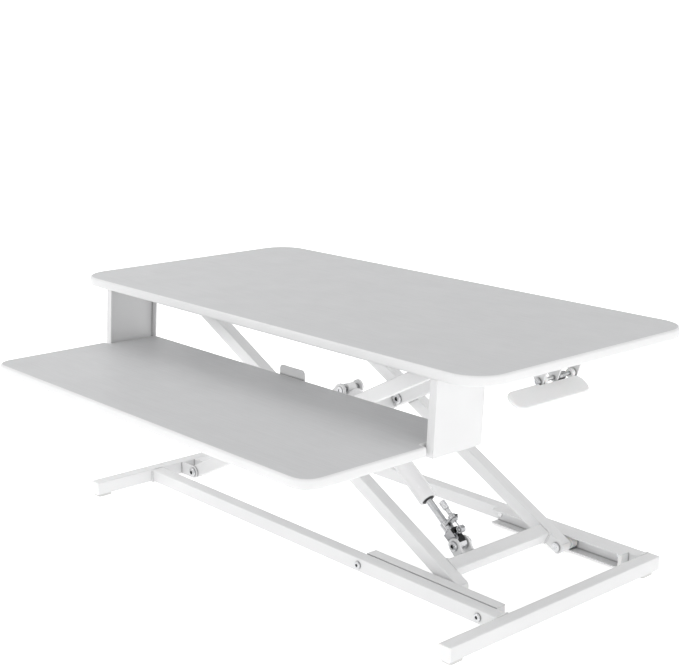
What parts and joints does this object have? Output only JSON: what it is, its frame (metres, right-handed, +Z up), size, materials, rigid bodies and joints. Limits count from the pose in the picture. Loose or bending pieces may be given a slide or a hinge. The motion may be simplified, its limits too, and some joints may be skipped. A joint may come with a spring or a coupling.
{
  "type": "standing desk converter",
  "caption": "Desktop riser: a board with a lower keyboard tray on crossed arms that roll in channels, lifted by a lockable gas spring and freed by a paddle under the right end.",
  "frame": {"origin": "on the ground, under the middle of the overall box at its rest height", "axes": "+X to the right along the desktop, +Y to the back, +Z up"},
  "size_m": [0.8, 0.582, 0.337],
  "materials": {
    "painted_steel": "satin white powder coat with a fine orange peel",
    "laminate_board": "fibreboard faced in a satin off-white laminate, with paler rounded edges",
    "zinc_fasteners": "bright zinc plate",
    "chrome": "polished",
    "bright_steel": "bare bright steel",
    "painted_cylinder": "semi-gloss white",
    "white_plastic": "moulded, fine satin",
    "roller_nylon": "turned nylon",
    "rubber_pads": "matt light grey"
  },
  "bodies": {
    "base": {"left_foot_tube": "painted_steel", "right_foot_tube": "painted_steel", "front_rail": "painted_steel", "rear_rail": "painted_steel", "foot_end_caps": "white_plastic", "rubber_pads": "rubber_pads", "front_lower_channel": "painted_steel", "rear_lower_channel": "painted_steel", "channel_bolts": "zinc_fasteners", "channel_end_stops": "white_plastic", "lower_clevises": "painted_steel", "lower_pivot_bolts": "zinc_fasteners", "lower_pivot_nuts": "zinc_fasteners"},
    "inner_arms": {"arm_b_front": "painted_steel", "arm_b_rear": "painted_steel", "arm_b_cross_tube": "painted_steel", "arm_b_end_plugs": "white_plastic", "centre_pivot_bolts": "zinc_fasteners", "centre_pivot_nuts": "zinc_fasteners", "arm_washers": "roller_nylon", "upper_roller_axles": "zinc_fasteners", "spring_upper_ears": "painted_steel", "spring_stub_bolts": "zinc_fasteners"},
    "outer_arms": {"arm_a_front": "painted_steel", "arm_a_rear": "painted_steel", "arm_a_cross_tube": "painted_steel", "arm_a_end_plugs": "white_plastic", "lower_roller_axles": "zinc_fasteners", "spring_lower_ears": "painted_steel", "spring_lower_bolt_and_nut": "zinc_fasteners"},
    "desktop": {"desktop_board": "laminate_board", "front_upper_channel": "painted_steel", "rear_upper_channel": "painted_steel", "upper_clevises": "painted_steel", "upper_pivot_bolts": "zinc_fasteners", "upper_pivot_nuts": "zinc_fasteners", "left_side_plate": "painted_steel", "right_side_plate": "painted_steel", "keyboard_tray": "laminate_board", "tray_rear_tab": "painted_steel", "board_screws": "zinc_fasteners", "tray_screws": "zinc_fasteners", "handle_bracket": "painted_steel", "handle_pin": "zinc_fasteners", "handle_spring": "zinc_fasteners"},
    "spring_rod": {"gas_rod": "chrome", "gas_piston": "bright_steel", "release_head": "chrome", "lever_pin": "zinc_fasteners", "cable_adjuster": "chrome", "adjuster_nuts": "zinc_fasteners"},
    "spring_cylinder": {"gas_cylinder": "painted_cylinder"},
    "lever": {"release_lever": "bright_steel"},
    "valve_pin": {"release_pin": "bright_steel"},
    "wire": {"cable_wire": "bright_steel"},
    "paddle": {"handle_paddle": "white_plastic"},
    "roller_low_front": {"front_lower_roller": "roller_nylon"},
    "roller_low_rear": {"rear_lower_roller": "roller_nylon"},
    "roller_high_front": {"front_upper_roller": "roller_nylon"},
    "roller_high_rear": {"rear_upper_roller": "roller_nylon"}
  },
  "joints": [
    {"name": "lift", "type": "hinge", "parent": "base", "child": "inner_arms", "pos_m": [-0.326, 0.13175, 0.013], "axis": [0, -1, 0], "range_deg": [-20.16, 17.97]},
    {"name": "arm_cross", "type": "hinge", "parent": "inner_arms", "child": "outer_arms", "pos_m": [-0.03808, 0.13175, 0.16375], "axis": [0, 1, 0], "range_deg": [-40.32, 35.94]},
    {"name": "desktop_pivot", "type": "hinge", "parent": "outer_arms", "child": "desktop", "pos_m": [-0.326, 0.13175, 0.3145], "axis": [0, -1, 0], "range_deg": [-20.16, 17.97]},
    {"name": "spring_pivot", "type": "hinge", "parent": "outer_arms", "child": "spring_rod", "pos_m": [0.20567, 0.0795, 0.0429], "axis": [0, 1, 0], "range_deg": [-0.4, 0.4]},
    {"name": "spring_stroke", "type": "slide", "parent": "spring_rod", "child": "spring_cylinder", "axis": [-0.791, 0, 0.6119], "range_m": [-0.0353, 0.0315]},
    {"name": "paddle_squeeze", "type": "hinge", "parent": "desktop", "child": "paddle", "pos_m": [0.372, 0.026, 0.307], "axis": [0, -1, 0], "range_deg": [0, 25], "stiffness_Nm_per_rad": 0.5, "springref_deg": -17.19},
    {"name": "lever_pull", "type": "hinge", "parent": "spring_rod", "child": "lever", "pos_m": [0.19251, 0.0795, 0.0455], "axis": [0, -1, 0], "range_deg": [0, 14]},
    {"name": "valve_pin_push", "type": "slide", "parent": "spring_rod", "child": "valve_pin", "axis": [-0.791, 0, 0.6119], "range_m": [0, 0.0015]},
    {"name": "wire_pull", "type": "slide", "parent": "spring_rod", "child": "wire", "axis": [-0.791, 0, 0.6119], "range_m": [0, 0.0058]},
    {"name": "roller_low_front_spin", "type": "hinge", "parent": "outer_arms", "child": "roller_low_front", "pos_m": [0.24985, 0.0104, 0.013], "axis": [0, 1, 0], "continuous": true},
    {"name": "roller_low_rear_spin", "type": "hinge", "parent": "outer_arms", "child": "roller_low_rear", "pos_m": [0.24985, 0.2531, 0.013], "axis": [0, 1, 0], "continuous": true},
    {"name": "roller_high_front_spin", "type": "hinge", "parent": "inner_arms", "child": "roller_high_front", "pos_m": [0.24985, 0.0308, 0.3145], "axis": [0, 1, 0], "continuous": true},
    {"name": "roller_high_rear_spin", "type": "hinge", "parent": "inner_arms", "child": "roller_high_rear", "pos_m": [0.24985, 0.2327, 0.3145], "axis": [0, 1, 0], "continuous": true}
  ],
  "couplings": [
    {"joint": "arm_cross", "follows": "lift", "ratio": 2},
    {"joint": "desktop_pivot", "follows": "lift", "ratio": 1},
    {"joint": "spring_pivot", "follows": "lift", "ratio": -0.01389},
    {"joint": "spring_stroke", "follows": "lift", "m_per_rad": 0.09996},
    {"joint": "lever_pull", "follows": "paddle_squeeze", "ratio": 0.56},
    {"joint": "valve_pin_push", "follows": "paddle_squeeze", "m_per_rad": 0.003437},
    {"joint": "wire_pull", "follows": "paddle_squeeze", "m_per_rad": 0.013292}
  ]
}
